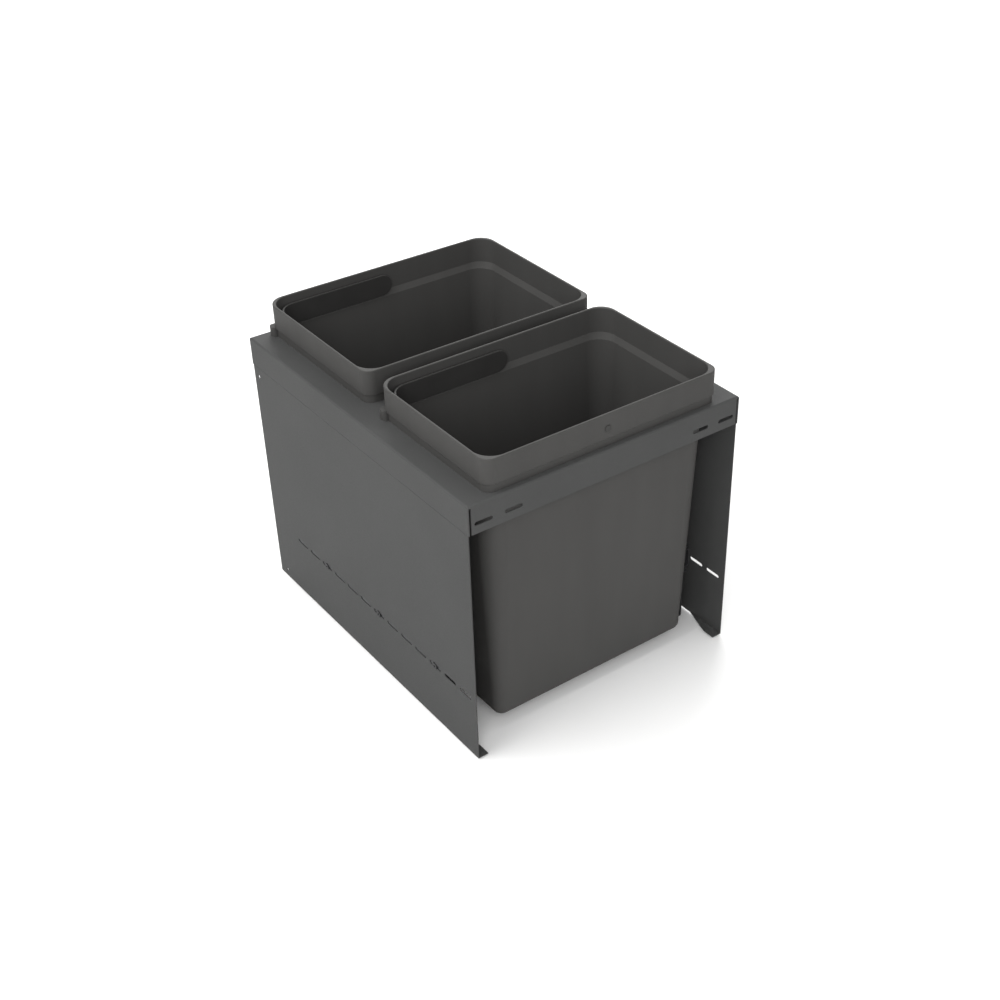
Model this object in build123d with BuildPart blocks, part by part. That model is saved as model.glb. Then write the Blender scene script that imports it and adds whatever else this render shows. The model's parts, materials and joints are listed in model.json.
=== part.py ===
from build123d import *
import math
import os

# Pull out bin frame for a kitchen base cabinet.
# A folded steel frame carries two lift-out bins and runs on two ball runners
# that stand on the cabinet floor. Lengths are millimetres.
# X runs to the right, the frame pulls out towards -Y, and Z is up from the floor.

# Frame: outer size of the folded steel
frame_width = 392.0
frame_depth = 488.0
frame_height = 364.0
floor_clearance = 2.0

# Top plate: an inverted tray with a flange on every side
plate_sheet = 1.5
plate_bend = 2.5
flange_depth = 37.5
corner_slit = 2.5
front_slot_length = 24.0
front_slot_width = 5.0
front_slot_drop = 24.5
front_slot_inset = 20.0
front_slot_pitch = 40.0
cutout_clearance = 1.0

# Side panels: flush with the side flanges, stepped inwards above to be spot-welded behind them
panel_sheet = 1.2
panel_end_gap = 0.3
panel_top_gap = 1.2
panel_seam = 0.1
panel_step_drop = 0.3
tab_width = 13.0
tab_length = 60.0
tab_slant = 42.0
row_pitch = 32.0
row_front_inset = 24.0
row_back_inset = 50.0
row_height = 88.0
row_slot_length = 24.0
row_slot_width = 5.0
panel_hole = 5.0
upper_hole_inset = 13.0
upper_hole_drop = 51.0
lower_hole_inset = 20.0
lower_hole_rise = 11.0

# Bins: the collar stands on the plate and the body hangs through it, the rear one is a little deeper
bin_side_margin = 28.5
bin_front_margin = 6.5
bin_back_margin = 1.0
bin_gap = 24.5
front_bin_share = 0.477
collar_height = 43.0
collar_front_radius = 14.0
collar_back_radius = 22.0
collar_inner_radius = 24.0
collar_wall = 3.0
bin_wall = 2.2
recess_height = 10.0
recess_inset = 1.6
shoulder_rise = 7.5
body_inset = 5.0
body_radius = 27.5
body_floor_gap = 18.5
body_taper = 15.0
body_round_share = 0.85
base_rise = 3.0
base_inset = 14.0
base_radius = 10.0
rim_round = 1.2
collar_foot_round = 1.2
lug_out = 4.0
lug_length = 12.0
lug_height = 13.0
lug_from_back = 13.0
lug_root = 12.0
lug_round = 4.0

# Bin handles: a band folded down inside the collar, hinged at mid width
handle_band = 2.8
handle_height = 28.5
handle_side_gap = 0.3
handle_foot_gap = 3.3
handle_boss = 6.0
handle_boss_gap = 0.3
handle_round = 0.8
arm_reach = 10.5
arm_round_share = 0.98

# Handle pivot pins: pressed through the front and back collar walls into the handle's blind eyes
pivot_rise = 23.5
pin_radius = 3.0
pin_fit = 0.05
pin_head_radius = 4.5
pin_head = 1.2
pin_head_round = 0.8
pin_end_play = 0.2
eye_floor = 1.2

# Ball runners: sizes across one runner, from the panel towards the floor bracket
runner_thickness = 12.7
runner_height = 45.0
rail_setback = 70.0
rail_back_gap = 18.0
travel_reserve = 20.0
middle_share = 0.5
outer_cage_share = 0.25
inner_cage_share = 0.75
rail_sheet = 1.2
rail_corner = 1.8
cabinet_rail_start = 1.8
cabinet_return = 1.3
middle_sheet = 1.0
middle_corner = 1.6
middle_start = 2.4
middle_web_gap = 1.1
middle_return = 1.0
ball_radius = 1.5
ball_play = 0.15
cage_sheet = 0.5
outer_cage_start = 3.6
inner_cage_start = 3.8
cage_web_gap = 0.35
outer_ball_depth = 7.0
inner_ball_depth = 6.0
ball_pocket = 0.1
cage_balls = 10
cage_end = 8.0
cage_margin = 3.0
frame_rail_gap = 0.35

# Screws that hold each frame rail to its panel, through three slots of the row
screw_slots_free = 2
screw_radius = 2.0
screw_fit = 0.05
screw_head_radius = 4.5
screw_head = 1.3
screw_head_round = 0.6
screw_tip = 1.0
screw_socket = 1.6
screw_socket_sides = 6
screw_socket_depth = 0.8

# Floor brackets: angles that carry the cabinet rails
bracket_sheet = 1.5
bracket_bend = 2.5
bracket_foot = 32.0
bracket_rise = 1.0
bracket_front_gap = 4.0
bracket_back_gap = 3.0
bracket_corner = 8.0
floor_hole_radius = 2.75
floor_holes = 4
floor_hole_pitch = 120.0
floor_hole_inset = 13.0

# Rivets between cabinet rail and floor bracket, and the rubber stop behind the rail
rivet_radius = 2.0
rivet_fit = 0.05
rivet_flush_radius = 3.2
rivet_head_radius = 3.75
rivet_head = 1.5
rivet_head_round = 1.0
rivets = 4
rivet_inset = 30.0
bumper_radius = 4.0
bumper_gap = 0.3
bumper_stem = 2.5
bumper_end_gap = 1.5
bumper_button = 1.2
bumper_round = 0.8

overrun = 1.0

# Places worked out from the sizes above
front = -frame_depth / 2
back = frame_depth / 2
plate_top = floor_clearance + frame_height
plate_under = plate_top - plate_sheet
flange_bottom = plate_top - flange_depth
outer_front_slot = frame_width / 2 - front_slot_inset
inner_front_slot = outer_front_slot - front_slot_pitch
panel_outer = frame_width / 2
panel_inner = panel_outer - panel_sheet
panel_step_top = flange_bottom - panel_seam
panel_step_lag = panel_sheet * math.tan(math.atan(plate_sheet / panel_step_drop) / 2)
panel_front = front + plate_sheet + panel_end_gap
panel_back = back - plate_sheet - panel_end_gap
panel_top = plate_under - panel_top_gap
row_z = floor_clearance + row_height
row_slots = math.floor((frame_depth - row_front_inset - row_back_inset) / row_pitch) + 1
screw_slots = (screw_slots_free, (row_slots - 1) // 2, row_slots - 1 - screw_slots_free)

bin_width = frame_width - 2 * bin_side_margin
bins_room = frame_depth - bin_front_margin - bin_back_margin - bin_gap
front_bin_depth = bins_room * front_bin_share
rear_bin_depth = bins_room - front_bin_depth
front_bin_y = front + bin_front_margin + front_bin_depth / 2
rear_bin_y = back - bin_back_margin - rear_bin_depth / 2
body_drop = frame_height - body_floor_gap
body_bottom = plate_top - body_drop
body_draft = math.degrees(math.atan(body_taper / body_drop))
body_round = (body_radius - body_taper) * body_round_share
ledge_top = plate_top + bin_wall
shoulder_top = ledge_top + shoulder_rise

handle_inset = body_inset + bin_wall + handle_side_gap
handle_radius = body_radius - bin_wall - handle_side_gap
handle_bottom = ledge_top + handle_foot_gap
handle_middle = handle_bottom + handle_height / 2
handle_top = handle_bottom + handle_height
pivot_z = plate_top + pivot_rise
eye_inset = handle_inset + handle_band - eye_floor

rail_length = frame_depth - rail_setback - rail_back_gap
travel = rail_length - travel_reserve
rail_front = front + rail_setback
rail_back = rail_front + rail_length
rail_web = runner_thickness - rail_sheet
middle_web = rail_web - middle_web_gap
outer_cage_web = middle_web + cage_web_gap
inner_cage_web = middle_web - middle_sheet - cage_web_gap
frame_rail_end = inner_cage_web - cage_sheet - frame_rail_gap
cabinet_half = runner_height / 2
ball_space = 2 * (ball_radius + ball_play)
middle_half = cabinet_half - rail_sheet - ball_space
frame_rail_half = middle_half - middle_sheet - ball_space
outer_ball_z = middle_half + ball_space / 2
inner_ball_z = frame_rail_half + ball_space / 2
cage_front = rail_front + outer_cage_share * travel + cage_margin
cage_back = rail_back - outer_cage_share * travel - cage_margin
ball_pitch = (cage_back - cage_front - 2 * cage_end) / (cage_balls - 1)
ball_row = [cage_front + cage_end + i * ball_pitch for i in range(cage_balls)]

bumper_y = rail_back + bumper_gap + bumper_radius
bracket_front = rail_front - bracket_front_gap
bracket_back = bumper_y + bumper_radius + bracket_back_gap
bracket_top = row_z + cabinet_half + bracket_rise
bracket_far = runner_thickness + bracket_sheet
floor_hole_y = (bracket_front + bracket_back) / 2
rivet_pitch = (rail_length - 2 * rivet_inset) / (rivets - 1)
rivet_row = [rail_front + rivet_inset + i * rivet_pitch for i in range(rivets)]

LEFT, RIGHT = -1, 1
SIDES = {"left": LEFT, "right": RIGHT}
BINS = {"front": (front_bin_y, front_bin_depth), "rear": (rear_bin_y, rear_bin_depth)}


def save(block, name):
    """Labels a finished piece and writes its file."""
    block.part.label = name
    export_step(block.part, f"parts/{name}.step")


def row_y(index):
    """Place of one slot of the panel's row, counted from the front."""
    return front + row_front_inset + index * row_pitch


def across(side, depth):
    """X of a point in a runner, by its depth from the panel's inner face."""
    return side * (panel_inner - depth)


def section_plane(y):
    """Upright plane square to the pull-out direction, with X and Z as its axes."""
    return Plane.XZ.offset(-y)


def make_top_plate():
    """Inverted tray with two rounded cut-outs and four slots in its front flange."""
    with BuildPart() as top_plate:
        with BuildSketch(Plane.XY.offset(flange_bottom)):
            Rectangle(frame_width, frame_depth)
        extrude(amount=flange_depth)
        fillet(top_plate.faces().sort_by(Axis.Z)[-1].edges(), radius=plate_bend)
        with BuildSketch(Plane.XY.offset(flange_bottom)):
            Rectangle(frame_width - 2 * plate_sheet, frame_depth - 2 * plate_sheet)
        extrude(amount=flange_depth - plate_sheet, mode=Mode.SUBTRACT)
        underside = top_plate.faces().filter_by(Plane.XY).sort_by(Axis.Z)[-2]
        fillet(underside.edges(), radius=plate_bend - plate_sheet)
        # Slits that part the front and back flanges from the side flanges
        slit_span = frame_width - 2 * plate_sheet - corner_slit
        with BuildSketch(Plane.XY.offset(flange_bottom)):
            with GridLocations(slit_span, frame_depth, 2, 2):
                Rectangle(corner_slit, 2 * (plate_sheet + panel_end_gap))
        extrude(amount=flange_depth - plate_bend, mode=Mode.SUBTRACT)
        # Cut-outs that the bins hang through
        with BuildSketch(Plane.XY.offset(plate_top + overrun)):
            for place in BINS.values():
                bin_outline(place, body_inset - cutout_clearance, body_radius + cutout_clearance)
        extrude(amount=-(plate_sheet + 2 * overrun), mode=Mode.SUBTRACT)
        # Slots for the screws of the cabinet's door front
        with BuildSketch(section_plane(front - overrun)):
            for slot_x in (outer_front_slot, inner_front_slot):
                with Locations((-slot_x, plate_top - front_slot_drop), (slot_x, plate_top - front_slot_drop)):
                    SlotOverall(front_slot_length, front_slot_width)
        extrude(amount=-(plate_sheet + 2 * overrun), mode=Mode.SUBTRACT)
    save(top_plate, "top_plate")


def make_side_panel(name, side):
    """Side sheet, stepped at its top, with its row of slots, two small holes and the tab at its foot."""
    with BuildPart() as side_panel:
        with BuildSketch(section_plane(panel_front)):
            with BuildLine():
                Polyline(
                    (side * panel_outer, floor_clearance),
                    (side * panel_outer, panel_step_top - panel_step_drop),
                    (side * (panel_outer - plate_sheet), panel_step_top),
                    (side * (panel_outer - plate_sheet), panel_top),
                    (side * (panel_inner - plate_sheet), panel_top),
                    (side * (panel_inner - plate_sheet), panel_step_top - panel_step_lag),
                    (side * panel_inner, panel_step_top - panel_step_drop - panel_step_lag),
                    (side * panel_inner, floor_clearance),
                    close=True,
                )
            make_face()
        extrude(amount=panel_front - panel_back)
        with BuildSketch(Plane.YZ.offset(side * (panel_outer + overrun))):
            with Locations(*[(row_y(i), row_z) for i in range(row_slots)]):
                SlotOverall(row_slot_length, row_slot_width)
            with Locations(
                (back - upper_hole_inset, plate_top - upper_hole_drop),
                (back - lower_hole_inset, floor_clearance + lower_hole_rise),
            ):
                Circle(panel_hole / 2)
        extrude(amount=-side * (panel_sheet + 2 * overrun), mode=Mode.SUBTRACT)
        with BuildSketch(Plane.XY.offset(floor_clearance)):
            with BuildLine():
                Polyline(
                    (side * panel_outer, panel_front),
                    (across(side, tab_width), panel_front),
                    (across(side, tab_width), panel_front + tab_length - tab_slant),
                    (across(side, 0), panel_front + tab_length),
                    (side * panel_outer, panel_front + tab_length),
                    close=True,
                )
            make_face()
        extrude(amount=panel_sheet)
    save(side_panel, f"{name}_side_panel")


def bin_outline(place, inset, radius, mode=Mode.ADD):
    """Rounded outline of one level of a bin, by its distance inside the collar's outer faces."""
    centre_y, depth = place
    with Locations((0, centre_y)):
        RectangleRounded(bin_width - 2 * inset, depth - 2 * inset, radius, mode=mode)


def collar_outline(sketch, place, inset):
    """Outline of the collar at one level: tight corners in front, wider ones behind."""
    centre_y, depth = place
    with Locations((0, centre_y)):
        Rectangle(bin_width - 2 * inset, depth - 2 * inset)
    fillet(sketch.vertices().group_by(Axis.Y)[0], radius=collar_front_radius - inset)
    fillet(sketch.vertices().group_by(Axis.Y)[-1], radius=collar_back_radius - inset)


def make_bin_hollow(place):
    """Inside of a bin: the tapered body, the sloping shoulder over the recess, and the collar."""
    with BuildPart() as hollow:
        with BuildSketch(Plane.XY.offset(ledge_top)):
            bin_outline(place, body_inset + bin_wall, body_radius - bin_wall)
        extrude(amount=body_drop - base_rise, dir=(0, 0, -1), taper=body_draft)
        fillet(hollow.faces().sort_by(Axis.Z)[0].edges(), radius=body_round - bin_wall)
        with BuildSketch(Plane.XY.offset(ledge_top)):
            bin_outline(place, body_inset + bin_wall, body_radius - bin_wall)
        with BuildSketch(Plane.XY.offset(shoulder_top)):
            bin_outline(place, collar_wall, collar_inner_radius)
        loft()
        with BuildSketch(Plane.XY.offset(shoulder_top)):
            bin_outline(place, collar_wall, collar_inner_radius)
        extrude(amount=collar_height)
    return hollow.part


def make_bin(name, place):
    """Bin shell: collar, recessed foot that rests on the plate, and tapered body."""
    centre_y, depth = place
    hollow = make_bin_hollow(place)
    with BuildPart() as shell:
        with BuildSketch(Plane.XY.offset(plate_top)):
            bin_outline(place, body_inset, body_radius)
        extrude(amount=body_drop, dir=(0, 0, -1), taper=body_draft)
        fillet(shell.faces().sort_by(Axis.Z)[0].edges(), radius=body_round)
        with BuildSketch(Plane.XY.offset(plate_top + recess_height)) as collar_level:
            collar_outline(collar_level, place, 0)
        extrude(amount=collar_height - recess_height)
        collar_foot = shell.faces().filter_by(Plane.XY).sort_by(Axis.Z)[-2]
        fillet(collar_foot.edges(), radius=collar_foot_round)
        with BuildSketch(Plane.XY.offset(plate_top)) as foot_level:
            collar_outline(foot_level, place, recess_inset)
        extrude(amount=recess_height + collar_foot_round)
        # Small lugs at the foot of the two back corners
        lug_x = bin_width / 2 + lug_out - (lug_out + lug_root) / 2
        lug_y = centre_y + depth / 2 - lug_from_back
        with BuildSketch(Plane.XY.offset(plate_top)):
            with Locations((-lug_x, lug_y), (lug_x, lug_y)):
                RectangleRounded(lug_out + lug_root, lug_length, lug_round)
        extrude(amount=lug_height)
        add(hollow, mode=Mode.SUBTRACT)
        # Shallow recess under the floor, so that the bin stands on a rim
        with BuildSketch(Plane.XY.offset(body_bottom - overrun)):
            bin_outline(place, body_inset + body_taper + base_inset, base_radius)
        extrude(amount=base_rise + overrun, mode=Mode.SUBTRACT)
        fillet(shell.faces().sort_by(Axis.Z)[-1].edges(), radius=rim_round)
        # Holes for the handle's pivot pins, through both collar walls
        with BuildSketch(section_plane(centre_y - depth / 2 - overrun)):
            with Locations((0, pivot_z)):
                Circle(pin_radius + pin_fit)
        extrude(amount=-(depth + 2 * overrun), mode=Mode.SUBTRACT)
    save(shell, f"{name}_bin")


def make_handle(name, place):
    """U-shaped band round the left half of the collar, with an eye at each end."""
    centre_y, depth = place
    with BuildPart() as handle:
        with BuildSketch(Plane.XY.offset(handle_bottom)):
            bin_outline(place, handle_inset, handle_radius)
            bin_outline(place, handle_inset + handle_band, handle_radius - handle_band, mode=Mode.SUBTRACT)
            with Locations((arm_reach, centre_y)):
                Rectangle(bin_width, depth, align=(Align.MIN, Align.CENTER), mode=Mode.SUBTRACT)
        extrude(amount=handle_height)
        # Round ends on the arms, then soft edges all along the band
        fillet(handle.edges().filter_by(Axis.Y).group_by(Axis.X)[-1], radius=handle_height / 2 * arm_round_share)
        rim_edges = handle.edges().group_by(Axis.Z)
        fillet(rim_edges[0] + rim_edges[-1], radius=handle_round)
        boss_length = handle_inset - collar_wall - handle_boss_gap
        for end in (-1, 1):
            with BuildSketch(section_plane(centre_y + end * (depth / 2 - handle_inset))):
                with Locations((0, pivot_z)):
                    Circle(handle_boss)
            extrude(amount=-end * boss_length)
            with BuildSketch(section_plane(centre_y + end * (depth / 2 - eye_inset))):
                with Locations((0, pivot_z)):
                    Circle(pin_radius + pin_fit)
            extrude(amount=-end * depth, mode=Mode.SUBTRACT)
    save(handle, f"{name}_bin_handle")


def make_pivot_pins(name, place):
    """Two headed pins on which a handle turns."""
    centre_y, depth = place
    pin_length = eye_inset - pin_end_play
    with BuildPart() as pins:
        for end in (-1, 1):
            wall_face = centre_y + end * depth / 2
            with BuildSketch(section_plane(wall_face)):
                with Locations((0, pivot_z)):
                    Circle(pin_head_radius)
            extrude(amount=-end * pin_head)
            with BuildSketch(section_plane(wall_face)):
                with Locations((0, pivot_z)):
                    Circle(pin_radius)
            extrude(amount=end * pin_length)
            outer_edge = pins.edges().filter_by(GeomType.CIRCLE).sort_by(Axis.Y)[0 if end < 0 else -1]
            fillet(outer_edge, radius=pin_head_round)
    save(pins, f"{name}_handle_pins")


def channel(side, start, end, half, sheet, corner, lip_return):
    """C section with its web at depth end and its open side at depth start."""
    with Locations((across(side, (start + end) / 2), row_z)):
        RectangleRounded(abs(end - start), 2 * half, corner)
        RectangleRounded(
            abs(end - start) - 2 * sheet, 2 * (half - sheet), corner - sheet, mode=Mode.SUBTRACT
        )
    with Locations((across(side, start), row_z)):
        Rectangle(2 * corner, 2 * (half - sheet - lip_return), mode=Mode.SUBTRACT)


def make_cabinet_rail(name, side):
    """Outer member of a runner, riveted to the floor bracket."""
    with BuildPart() as rail:
        with BuildSketch(section_plane(rail_front)):
            channel(
                side, cabinet_rail_start, runner_thickness, cabinet_half, rail_sheet, rail_corner, cabinet_return
            )
        extrude(amount=-rail_length)
        for y in rivet_row:
            with BuildSketch(Plane.YZ.offset(across(side, rail_web))):
                with Locations((y, row_z)):
                    Circle(rivet_flush_radius + rivet_fit)
            with BuildSketch(Plane.YZ.offset(across(side, runner_thickness))):
                with Locations((y, row_z)):
                    Circle(rivet_radius + rivet_fit)
            loft(mode=Mode.SUBTRACT)
    save(rail, f"{name}_cabinet_rail")


def make_middle_rail(name, side):
    """Middle member of a runner, carried by the balls on both sides of its lips."""
    with BuildPart() as rail:
        with BuildSketch(section_plane(rail_front)):
            channel(side, middle_start, middle_web, middle_half, middle_sheet, middle_corner, middle_return)
        extrude(amount=-rail_length)
    save(rail, f"{name}_middle_rail")


def make_frame_rail(name, side):
    """Inner member of a runner, screwed to the side panel."""
    with BuildPart() as rail:
        with BuildSketch(section_plane(rail_front)):
            channel(side, frame_rail_end, 0, frame_rail_half, rail_sheet, rail_corner, 0)
        extrude(amount=-rail_length)
        with BuildSketch(Plane.YZ.offset(across(side, -overrun))):
            with Locations(*[(row_y(i), row_z) for i in screw_slots]):
                Circle(screw_radius + screw_fit)
        extrude(amount=-side * (rail_sheet + 2 * overrun), mode=Mode.SUBTRACT)
    save(rail, f"{name}_frame_rail")


def make_ball_cage(name, side, start, web, ball_z, ball_depth):
    """Thin U-shaped strip with a pocket for each ball of its two rows."""
    with BuildPart() as cage:
        with BuildSketch(section_plane(cage_front)):
            with Locations((across(side, (start + web) / 2), row_z)):
                Rectangle(web - start, 2 * ball_z + cage_sheet)
            with Locations((across(side, (start + web - cage_sheet) / 2), row_z)):
                Rectangle(web - start - cage_sheet, 2 * ball_z - cage_sheet, mode=Mode.SUBTRACT)
        extrude(amount=cage_front - cage_back)
        with BuildSketch(Plane.XY.offset(row_z - ball_z - cage_sheet)):
            with Locations(*[(across(side, ball_depth), y) for y in ball_row]):
                Circle(ball_radius + ball_pocket)
        extrude(amount=2 * (ball_z + cage_sheet), mode=Mode.SUBTRACT)
    save(cage, name)


def make_balls(name, side, ball_z, ball_depth):
    """The two rows of steel balls in one cage."""
    with BuildPart() as balls:
        rows = [(across(side, ball_depth), y, row_z + up * ball_z) for up in (-1, 1) for y in ball_row]
        with Locations(*rows):
            Sphere(ball_radius)
    save(balls, name)


def make_rail_screws(name, side):
    """Low-headed screws through the panel's slots into the frame rail."""
    with BuildPart() as screws:
        places = [(row_y(i), row_z) for i in screw_slots]
        with BuildSketch(Plane.YZ.offset(across(side, -panel_sheet))):
            with Locations(*places):
                Circle(screw_head_radius)
        extrude(amount=side * screw_head)
        head_faces = screws.faces().sort_by(Axis.X, reverse=side > 0)[:len(places)]
        fillet(head_faces.edges(), radius=screw_head_round)
        with BuildSketch(Plane.YZ.offset(across(side, -panel_sheet - screw_head))):
            with Locations(*places):
                RegularPolygon(screw_socket, screw_socket_sides)
        extrude(amount=-side * screw_socket_depth, mode=Mode.SUBTRACT)
        with BuildSketch(Plane.YZ.offset(across(side, -panel_sheet))):
            with Locations(*places):
                Circle(screw_radius)
        extrude(amount=-side * (panel_sheet + rail_sheet + screw_tip))
    save(screws, f"{name}_rail_screws")


def make_floor_bracket(name, side):
    """Angle on the cabinet floor: its web carries the rail, its foot is screwed down."""
    with BuildPart() as bracket:
        with BuildSketch(section_plane(bracket_front)) as angle:
            with BuildLine():
                Polyline(
                    (across(side, runner_thickness), 0),
                    (across(side, runner_thickness), bracket_top),
                    (across(side, bracket_far), bracket_top),
                    (across(side, bracket_far), bracket_sheet),
                    (across(side, runner_thickness + bracket_foot), bracket_sheet),
                    (across(side, runner_thickness + bracket_foot), 0),
                    close=True,
                )
            make_face()
            outer_bend = angle.vertices().sort_by_distance((across(side, runner_thickness), 0, 0))[0]
            fillet(outer_bend, radius=bracket_bend)
            inner_bend = angle.vertices().sort_by_distance((across(side, bracket_far), bracket_sheet, 0))[0]
            fillet(inner_bend, radius=bracket_bend - bracket_sheet)
        extrude(amount=bracket_front - bracket_back)
        top_corners = bracket.edges().filter_by(Axis.X).group_by(Axis.Z)[-1]
        fillet(top_corners, radius=bracket_corner)
        foot_corners = bracket.edges().filter_by(Axis.Z).group_by(Axis.X)[0 if side > 0 else -1]
        fillet(foot_corners, radius=bracket_corner)
        with BuildSketch(Plane.YZ.offset(across(side, runner_thickness - overrun))):
            with Locations(*[(y, row_z) for y in rivet_row]):
                Circle(rivet_radius + rivet_fit)
            with Locations((bumper_y, row_z)):
                Circle(bumper_stem + rivet_fit)
        extrude(amount=-side * (bracket_sheet + 2 * overrun), mode=Mode.SUBTRACT)
        with BuildSketch(Plane.XY.offset(-overrun)):
            with Locations((across(side, runner_thickness + bracket_foot - floor_hole_inset), floor_hole_y)):
                with GridLocations(floor_hole_pitch, floor_hole_pitch, 1, floor_holes):
                    Circle(floor_hole_radius)
        extrude(amount=bracket_sheet + 2 * overrun, mode=Mode.SUBTRACT)
    save(bracket, f"{name}_floor_bracket")


def make_bracket_rivets(name, side):
    """Rivets with a flush head in the rail's web and a domed head on the bracket."""
    with BuildPart() as rivet_group:
        for y in rivet_row:
            with BuildSketch(Plane.YZ.offset(across(side, rail_web))):
                with Locations((y, row_z)):
                    Circle(rivet_flush_radius)
            with BuildSketch(Plane.YZ.offset(across(side, runner_thickness))):
                with Locations((y, row_z)):
                    Circle(rivet_radius)
            loft()
        with BuildSketch(Plane.YZ.offset(across(side, runner_thickness))):
            with Locations(*[(y, row_z) for y in rivet_row]):
                Circle(rivet_radius)
        extrude(amount=-side * bracket_sheet)
        with BuildSketch(Plane.YZ.offset(across(side, bracket_far))):
            with Locations(*[(y, row_z) for y in rivet_row]):
                Circle(rivet_head_radius)
        extrude(amount=-side * rivet_head)
        head_faces = rivet_group.faces().sort_by(Axis.X, reverse=side < 0)[:rivets]
        fillet(head_faces.edges(), radius=rivet_head_round)
    save(rivet_group, f"{name}_bracket_rivets")


def make_stop_bumper(name, side):
    """Rubber stop in the bracket, just behind the frame rail's end."""
    with BuildPart() as bumper:
        with BuildSketch(Plane.YZ.offset(across(side, bumper_end_gap))):
            with Locations((bumper_y, row_z)):
                Circle(bumper_radius)
        extrude(amount=-side * (runner_thickness - bumper_end_gap))
        fillet(bumper.faces().sort_by(Axis.X, reverse=side > 0)[0].edges(), radius=bumper_round)
        with BuildSketch(Plane.YZ.offset(across(side, runner_thickness))):
            with Locations((bumper_y, row_z)):
                Circle(bumper_stem)
        extrude(amount=-side * bracket_sheet)
        with BuildSketch(Plane.YZ.offset(across(side, bracket_far))):
            with Locations((bumper_y, row_z)):
                Circle(bumper_radius)
        extrude(amount=-side * bumper_button)
    save(bumper, f"{name}_stop_bumper")


os.makedirs("parts", exist_ok=True)

make_top_plate()
for side_name, side_sign in SIDES.items():
    make_side_panel(side_name, side_sign)
    make_floor_bracket(side_name, side_sign)
    make_cabinet_rail(side_name, side_sign)
    make_bracket_rivets(side_name, side_sign)
    make_stop_bumper(side_name, side_sign)
    make_ball_cage(
        f"{side_name}_outer_ball_cage",
        side_sign,
        outer_cage_start,
        outer_cage_web + cage_sheet,
        outer_ball_z,
        outer_ball_depth,
    )
    make_balls(f"{side_name}_outer_balls", side_sign, outer_ball_z, outer_ball_depth)
    make_middle_rail(side_name, side_sign)
    make_ball_cage(
        f"{side_name}_inner_ball_cage", side_sign, inner_cage_start, inner_cage_web, inner_ball_z, inner_ball_depth
    )
    make_balls(f"{side_name}_inner_balls", side_sign, inner_ball_z, inner_ball_depth)
    make_frame_rail(side_name, side_sign)
    make_rail_screws(side_name, side_sign)
for bin_name, bin_place in BINS.items():
    make_bin(bin_name, bin_place)
    make_handle(bin_name, bin_place)
    make_pivot_pins(bin_name, bin_place)
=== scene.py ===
import json
import math

import bpy
from mathutils import Matrix, Vector

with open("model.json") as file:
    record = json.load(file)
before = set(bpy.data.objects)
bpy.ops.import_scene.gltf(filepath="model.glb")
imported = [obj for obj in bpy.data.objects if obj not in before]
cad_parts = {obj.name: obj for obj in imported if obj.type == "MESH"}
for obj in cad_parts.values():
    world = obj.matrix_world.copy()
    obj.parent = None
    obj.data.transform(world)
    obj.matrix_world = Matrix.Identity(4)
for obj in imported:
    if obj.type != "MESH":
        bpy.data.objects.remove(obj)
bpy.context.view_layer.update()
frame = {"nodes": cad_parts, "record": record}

# Pull out bin frame: finishes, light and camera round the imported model.
# Lengths are metres. X is to the right, the frame pulls out towards -Y,
# and Z is up from the cabinet floor.

# Middle part of a noise pattern's values, which carries most of its surface
noise_start = 0.3
noise_end = 0.7

# Floor, just under the brackets' feet
floor_size = 40.0
floor_drop = 0.0003

# Light: strength of the white surroundings, then place, aim, width, height and watts of each lamp
sky_strength = 0.6
lamps = {
    "left_softbox": ((-2.1, 0.3, 2.9), (0.0, 0.0, 0.2), 2.4, 2.4, 77.0),
    "front_fill": ((-1.2, -1.9, 1.6), (0.0, 0.0, 0.2), 1.4, 1.4, 33.0),
    "top_softbox": ((0.0, 0.3, 3.2), (0.0, 0.0, 0.2), 3.0, 3.0, 22.0),
    "back_softbox": ((2.0, 2.4, 2.0), (0.0, 0.0, 0.3), 2.4, 2.0, 93.0),
}

# Camera fitted to the photograph: turns are in radians, and the focal length and the
# picture's centre are shares of the picture's width
camera_place = (-0.91149, -1.35198, 1.25372)
camera_yaw = 0.6718
camera_pitch = -0.6227
camera_roll = 0.0093
focal_share = 1.4946
centre_across = 0.58928
centre_down = 0.55130
sensor_width = 36.0
nearest_seen = 0.01
farthest_seen = 100.0

model_nodes = frame["nodes"]
slot_of_node = {entry["node"]: entry["material_slot"] for entry in frame["record"]["subparts"]}
bpy.ops.object.select_all(action="DESELECT")


def shade_of(color, factor):
    """The same colour, lighter or darker."""
    return tuple(channel * factor for channel in color)


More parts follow.
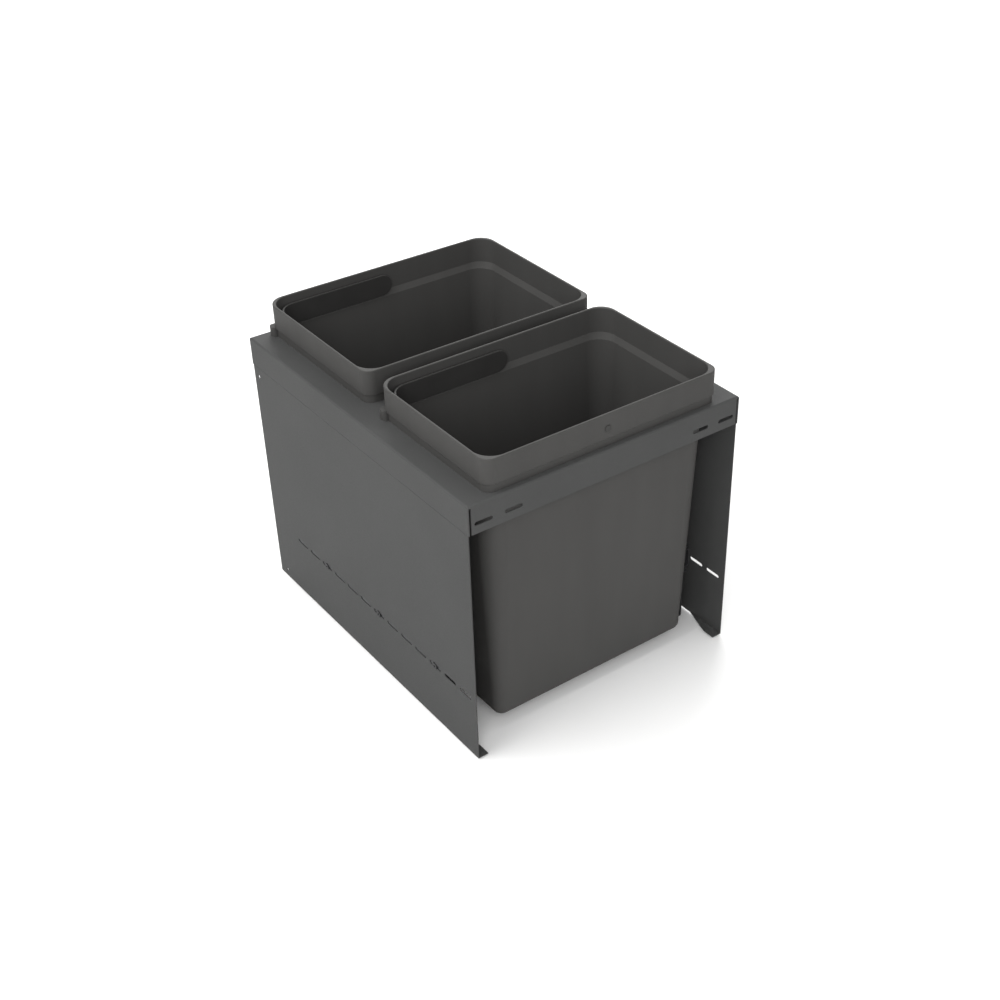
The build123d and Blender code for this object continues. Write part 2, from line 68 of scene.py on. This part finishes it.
# Node helpers for the finishes
class Finish:
    """One procedural material, with short calls for the nodes it is made of."""

    def __init__(self, name, color, roughness, metallic=0.0, specular=0.5):
        self.material = bpy.data.materials.new(name)
        self.material.use_nodes = True
        self.tree = self.material.node_tree
        self.shader = self.tree.nodes["Principled BSDF"]
        self.shader.inputs["Base Color"].default_value = (*color, 1.0)
        self.shader.inputs["Roughness"].default_value = roughness
        self.shader.inputs["Metallic"].default_value = metallic
        self.shader.inputs["Specular IOR Level"].default_value = specular
        self.coords = self.tree.nodes.new("ShaderNodeTexCoord").outputs["Object"]

    def join(self, source, socket):
        self.tree.links.new(source, socket)

    def stretched(self, scale):
        """Object coordinates stretched by a factor on each axis."""
        mapping = self.tree.nodes.new("ShaderNodeMapping")
        mapping.inputs["Scale"].default_value = scale
        self.join(self.coords, mapping.inputs["Vector"])
        return mapping.outputs["Vector"]

    def object_height(self):
        """Height above the cabinet floor, with the part at rest."""
        node = self.tree.nodes.new("ShaderNodeSeparateXYZ")
        self.join(self.coords, node.inputs["Vector"])
        return node.outputs["Z"]

    def noise(self, scale, detail, roughness, coords=None):
        """Cloudy pattern between 0 and 1, with features about 1 / scale metres wide."""
        node = self.tree.nodes.new("ShaderNodeTexNoise")
        node.inputs["Scale"].default_value = scale
        node.inputs["Detail"].default_value = detail
        node.inputs["Roughness"].default_value = roughness
        self.join(coords or self.coords, node.inputs["Vector"])
        return node.outputs["Fac"]

    def cells(self, scale):
        """Cell pattern for crystals and grain: each cell's colour, and the distance to its middle."""
        node = self.tree.nodes.new("ShaderNodeTexVoronoi")
        node.inputs["Scale"].default_value = scale
        self.join(self.coords, node.inputs["Vector"])
        return node.outputs["Color"], node.outputs["Distance"]

    def brightness(self, color):
        """Brightness of a colour pattern."""
        node = self.tree.nodes.new("ShaderNodeRGBToBW")
        self.join(color, node.inputs["Color"])
        return node.outputs["Val"]

    def ranged(self, pattern, low, high, start, end):
        """Maps start..end of a pattern onto low..high."""
        node = self.tree.nodes.new("ShaderNodeMapRange")
        node.inputs["From Min"].default_value = start
        node.inputs["From Max"].default_value = end
        node.inputs["To Min"].default_value = low
        node.inputs["To Max"].default_value = high
        self.join(pattern, node.inputs["Value"])
        return node.outputs["Result"]

    def spread(self, pattern, low, high):
        """Maps the middle part of a noise pattern onto low..high."""
        return self.ranged(pattern, low, high, noise_start, noise_end)

    def product(self, first, second):
        """Two patterns multiplied."""
        node = self.tree.nodes.new("ShaderNodeMath")
        node.operation = "MULTIPLY"
        self.join(first, node.inputs[0])
        self.join(second, node.inputs[1])
        return node.outputs["Value"]

    def blend(self, factor, first, second):
        """Colour between two colours, by a pattern."""
        node = self.tree.nodes.new("ShaderNodeMix")
        node.data_type = "RGBA"
        self.join(factor, node.inputs["Factor"])
        for socket, value in ((node.inputs["A"], first), (node.inputs["B"], second)):
            if isinstance(value, tuple):
                socket.default_value = (*value, 1.0)
            else:
                self.join(value, socket)
        return node.outputs["Result"]

    def mottled(self, pattern, color, darker, lighter):
        """Soft clouds between a darker and a lighter shade of a colour."""
        return self.blend(self.spread(pattern, 0.0, 1.0), shade_of(color, darker), shade_of(color, lighter))

    def speckled(self, pattern, ground, speck, share, start, end):
        """A ground that takes on up to a share of the speck colour where a pattern is high."""
        return self.blend(self.ranged(pattern, 0.0, share, start, end), ground, speck)

    def color(self, source):
        self.join(source, self.shader.inputs["Base Color"])

    def rough(self, source):
        self.join(source, self.shader.inputs["Roughness"])

    def relief(self, *layers):
        """Bump from one or more layers, each a pattern and its depth in metres."""
        last = None
        for pattern, depth in layers:
            bump = self.tree.nodes.new("ShaderNodeBump")
            bump.inputs["Strength"].default_value = 1.0
            bump.inputs["Distance"].default_value = depth
            self.join(pattern, bump.inputs["Height"])
            if last:
                self.join(last, bump.inputs["Normal"])
            last = bump.outputs["Normal"]
        self.join(last, self.shader.inputs["Normal"])


# Finishes
def powder_coat():
    """Anthracite powder coat: fine orange peel, soft clouding and faint rubs near the floor edge."""
    grey = (0.057, 0.0576, 0.057)
    finish = Finish("anthracite_powder_coat", grey, roughness=0.6, specular=0.1)
    cloud = finish.noise(scale=9.0, detail=3.0, roughness=0.55)
    speck = finish.noise(scale=1500.0, detail=2.0, roughness=0.6)
    peel = finish.noise(scale=900.0, detail=3.0, roughness=0.5)
    fine = finish.noise(scale=2400.0, detail=1.0, roughness=0.5)
    scuff = finish.noise(scale=160.0, detail=4.0, roughness=0.7)
    clouded = finish.mottled(cloud, grey, darker=0.96, lighter=1.04)
    coated = finish.speckled(speck, clouded, shade_of(grey, 1.2), share=0.3, start=0.45, end=0.75)
    low_edge = finish.ranged(finish.object_height(), low=1.0, high=0.0, start=0.002, end=0.009)
    rubs = finish.ranged(scuff, low=0.0, high=1.0, start=0.52, end=0.7)
    finish.color(finish.blend(finish.product(low_edge, rubs), coated, shade_of(grey, 1.7)))
    finish.rough(finish.spread(peel, low=0.55, high=0.68))
    finish.relief((peel, 0.00001), (fine, 0.000004))
    return finish.material


def moulded_plastic():
    """Grey moulded polypropylene: spark-eroded grain, faint flow lines up the walls."""
    grey = (0.0552, 0.0542, 0.0524)
    finish = Finish("moulded_grey_plastic", grey, roughness=0.58, specular=0.1)
    up_the_walls = finish.stretched((26.0, 26.0, 4.0))
    flow = finish.noise(scale=1.0, detail=3.0, roughness=0.5, coords=up_the_walls)
    grain = finish.noise(scale=1500.0, detail=3.0, roughness=0.65)
    _, pits = finish.cells(scale=1100.0)
    toned = finish.mottled(flow, grey, darker=0.96, lighter=1.04)
    finish.color(finish.speckled(grain, toned, shade_of(grey, 1.25), share=0.4, start=0.5, end=0.8))
    finish.rough(finish.spread(grain, low=0.52, high=0.66))
    finish.relief((grain, 0.00001), (pits, 0.000005))
    return finish.material


def handle_plastic():
    """Near-black handle plastic, smoother than the bin, with faint clouding."""
    black = (0.0295, 0.0288, 0.028)
    finish = Finish("black_handle_plastic", black, roughness=0.5, specular=0.12)
    cloud = finish.noise(scale=30.0, detail=3.0, roughness=0.5)
    grain = finish.noise(scale=1300.0, detail=2.0, roughness=0.6)
    finish.color(finish.mottled(cloud, black, darker=0.93, lighter=1.08))
    finish.rough(finish.spread(grain, low=0.4, high=0.55))
    finish.relief((grain, 0.000008))
    return finish.material


def pin_plastic():
    """Pivot pins: the bin's plastic, a shade darker and worn smoother by the handle."""
    grey = (0.042, 0.0415, 0.04)
    finish = Finish("pivot_pin_plastic", grey, roughness=0.45, specular=0.12)
    rub = finish.noise(scale=420.0, detail=3.0, roughness=0.6)
    worn = finish.ranged(rub, low=0.0, high=1.0, start=0.35, end=0.65)
    finish.color(finish.blend(worn, shade_of(grey, 0.9), shade_of(grey, 1.12)))
    finish.rough(finish.spread(rub, low=0.32, high=0.5))
    finish.relief((rub, 0.00001))
    return finish.material


def passivated_bracket():
    """Black-passivated bracket sheet: soft spangle and rolling marks along the length."""
    black = (0.06, 0.06, 0.063)
    finish = Finish("black_passivated_sheet", black, roughness=0.42, metallic=0.6, specular=0.15)
    crystals, _ = finish.cells(scale=170.0)
    along_the_sheet = finish.stretched((900.0, 7.0, 900.0))
    rolled = finish.noise(scale=1.0, detail=3.0, roughness=0.6, coords=along_the_sheet)
    spangle = finish.blend(finish.brightness(crystals), shade_of(black, 0.85), shade_of(black, 1.15))
    finish.color(finish.speckled(rolled, spangle, shade_of(black, 1.4), share=0.35, start=0.4, end=0.7))
    finish.rough(finish.spread(rolled, low=0.34, high=0.5))
    finish.relief((rolled, 0.000006))
    return finish.material


def drawn_steel():
    """Steel of rails, ball cages and rivets: black-passivated, drawn along the rail, thinly greased."""
    black = (0.075, 0.075, 0.078)
    finish = Finish("drawn_runner_steel", black, roughness=0.4, metallic=0.5, specular=0.15)
    along_the_rail = finish.stretched((1600.0, 5.0, 1600.0))
    drawn = finish.noise(scale=1.0, detail=2.0, roughness=0.6, coords=along_the_rail)
    cloud = finish.noise(scale=40.0, detail=3.0, roughness=0.5)
    greased = finish.mottled(cloud, black, darker=0.9, lighter=1.1)
    finish.color(finish.speckled(drawn, greased, shade_of(black, 1.5), share=0.5, start=0.45, end=0.75))
    finish.rough(finish.spread(drawn, low=0.3, high=0.46))
    finish.relief((drawn, 0.000005))
    return finish.material


def ball_steel():
    """Polished bearing balls with a film of grease."""
    steel = (0.66, 0.66, 0.67)
    finish = Finish("polished_ball_steel", steel, roughness=0.12, metallic=1.0)
    grease = finish.noise(scale=900.0, detail=3.0, roughness=0.6)
    finish.color(finish.speckled(grease, steel, shade_of(steel, 0.75), share=1.0, start=0.4, end=0.7))
    finish.rough(finish.ranged(grease, low=0.08, high=0.3, start=0.4, end=0.7))
    return finish.material


def black_oxide():
    """Black-oxide screws, a little brighter where the tool has rubbed."""
    black = (0.02, 0.02, 0.021)
    rubbed = (0.045, 0.045, 0.046)
    finish = Finish("black_oxide", black, roughness=0.5, metallic=0.3, specular=0.22)
    rub = finish.noise(scale=700.0, detail=3.0, roughness=0.6)
    finish.color(finish.speckled(rub, black, rubbed, share=0.4, start=0.5, end=0.75))
    finish.rough(finish.spread(rub, low=0.34, high=0.55))
    finish.relief((rub, 0.00001))
    return finish.material


def bumper_rubber():
    """Soft black rubber, dull and slightly dusty."""
    black = (0.014, 0.014, 0.0135)
    dusty = (0.03, 0.029, 0.028)
    finish = Finish("bumper_rubber", black, roughness=0.8, specular=0.2)
    dust = finish.noise(scale=240.0, detail=4.0, roughness=0.65)
    finish.color(finish.speckled(dust, black, dusty, share=0.5, start=0.5, end=0.75))
    finish.rough(finish.spread(dust, low=0.7, high=0.9))
    finish.relief((dust, 0.00003))
    return finish.material


finishes = {
    "frame_paint": powder_coat(),
    "bin_plastic": moulded_plastic(),
    "handle_plastic": handle_plastic(),
    "pin_plastic": pin_plastic(),
    "bracket_steel": passivated_bracket(),
    "runner_steel": drawn_steel(),
    "ball_steel": ball_steel(),
    "black_screw": black_oxide(),
    "bumper_rubber": bumper_rubber(),
}


def give_finish(piece, finish):
    """Puts one finish on every material slot of a piece."""
    if not piece.material_slots:
        piece.data.materials.append(finish)
    for material_slot in piece.material_slots:
        material_slot.material = finish


for node_name, node in model_nodes.items():
    give_finish(node, finishes[slot_of_node[node_name]])


# Floor, light and camera
def pale_floor():
    """Wide pale floor just under the brackets' feet."""
    pale = (0.9, 0.9, 0.895)
    dimmer = (0.89, 0.89, 0.885)
    brighter = (0.91, 0.91, 0.905)
    finish = Finish("pale_floor", pale, roughness=0.7, specular=0.2)
    cloud = finish.noise(scale=3.0, detail=2.0, roughness=0.5)
    finish.color(finish.blend(finish.spread(cloud, low=0.0, high=1.0), dimmer, brighter))
    bpy.ops.mesh.primitive_plane_add(size=floor_size, location=(0.0, 0.0, -floor_drop))
    floor = bpy.context.object
    floor.name = "pale_floor"
    bpy.ops.object.transform_apply(location=True, rotation=True, scale=True)
    give_finish(floor, finish.material)


def soft_light(name, place, aim, width, height, power):
    """Large rectangular lamp at a place, turned towards an aim point."""
    lamp = bpy.data.lights.new(name, "AREA")
    lamp.shape = "RECTANGLE"
    lamp.size = width
    lamp.size_y = height
    lamp.energy = power
    holder = bpy.data.objects.new(name, lamp)
    bpy.context.scene.collection.objects.link(holder)
    holder.location = place
    holder.rotation_euler = (Vector(aim) - Vector(place)).to_track_quat("-Z", "Y").to_euler()


def studio():
    """White surroundings, strong lamps at the upper left and behind, weaker ones above and in front."""
    world = bpy.data.worlds.new("white_studio")
    bpy.context.scene.world = world
    world.use_nodes = True
    sky = world.node_tree.nodes["Background"]
    sky.inputs["Color"].default_value = (1.0, 1.0, 1.0, 1.0)
    sky.inputs["Strength"].default_value = sky_strength
    for lamp_name, lamp_settings in lamps.items():
        soft_light(lamp_name, *lamp_settings)
    bpy.context.scene.view_settings.view_transform = "Standard"


def photo_camera():
    """Camera at the photograph's viewing angle, with the lens shifted to its framing."""
    level_reach = math.cos(camera_pitch)
    ahead = Vector(
        (math.sin(camera_yaw) * level_reach, math.cos(camera_yaw) * level_reach, math.sin(camera_pitch))
    )
    level = Vector((math.cos(camera_yaw), -math.sin(camera_yaw), 0.0))
    upward = level.cross(ahead)
    across = level * math.cos(camera_roll) + upward * math.sin(camera_roll)
    over = upward * math.cos(camera_roll) - level * math.sin(camera_roll)
    lens = bpy.data.cameras.new("photo_camera")
    lens.sensor_width = sensor_width
    lens.lens = focal_share * sensor_width
    lens.shift_x = 0.5 - centre_across
    lens.shift_y = centre_down - 0.5
    lens.clip_start = nearest_seen
    lens.clip_end = farthest_seen
    holder = bpy.data.objects.new("photo_camera", lens)
    bpy.context.scene.collection.objects.link(holder)
    turn = Matrix((across, over, -ahead)).transposed().to_4x4()
    holder.matrix_world = Matrix.Translation(camera_place) @ turn
    bpy.context.scene.camera = holder


pale_floor()
studio()
photo_camera()
